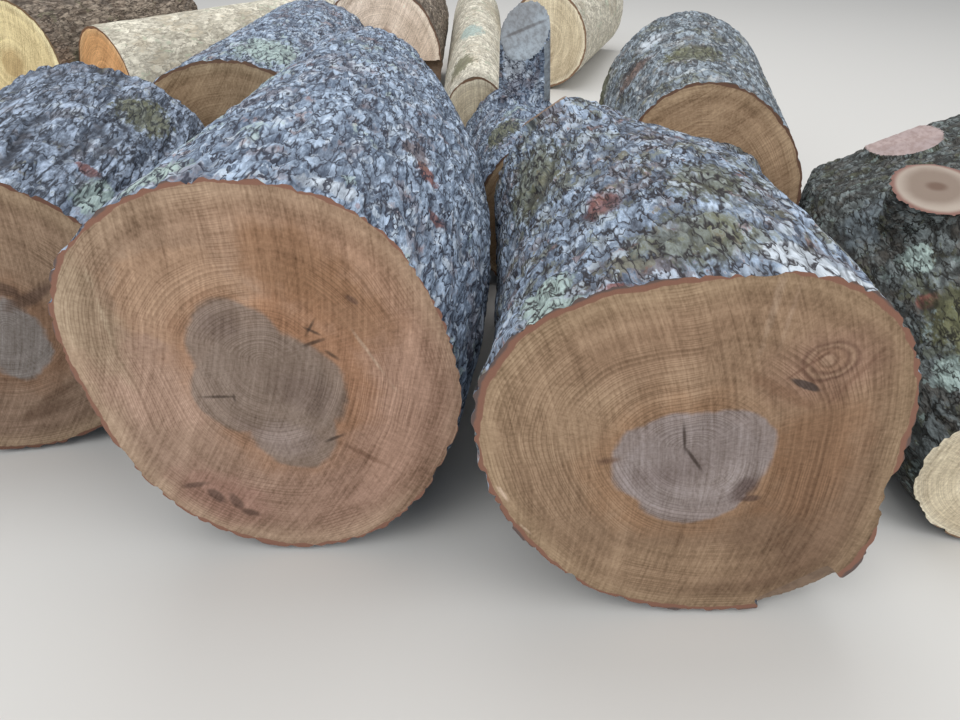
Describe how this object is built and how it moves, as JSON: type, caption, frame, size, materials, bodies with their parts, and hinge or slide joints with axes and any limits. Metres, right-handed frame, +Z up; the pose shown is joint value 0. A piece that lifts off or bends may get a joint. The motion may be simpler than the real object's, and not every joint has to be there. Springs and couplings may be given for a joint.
{
  "type": "heap of logs",
  "caption": "Heap of felled logs lying side by side on level ground, with sawn end faces, ridged grey bark, and sawn-off branch stubs.",
  "frame": {"origin": "middle of the heap's footprint, on the ground it rests on", "axes": "+Z up; +Y from the two large front logs towards the back of the heap; +X to the right as seen from the front"},
  "size_m": [3.8216, 4.7424, 0.6859],
  "materials": {
    "grey_bark_wood": "rough weathered bark, sawn ends",
    "brown_bark_wood": "rough mossy bark, sawn ends",
    "pale_bark_wood": "smooth pale bark, sawn ends"
  },
  "bodies": {
    "root": {"front_left_log": "grey_bark_wood", "front_right_log": "brown_bark_wood", "far_left_log": "grey_bark_wood", "middle_left_log": "grey_bark_wood", "forked_log": "grey_bark_wood", "back_right_log": "grey_bark_wood", "crotch_log": "brown_bark_wood", "pale_log": "pale_bark_wood", "notched_log": "brown_bark_wood", "back_middle_log": "pale_bark_wood", "back_left_log": "pale_bark_wood", "corner_log": "brown_bark_wood"}
  },
  "joints": []
}
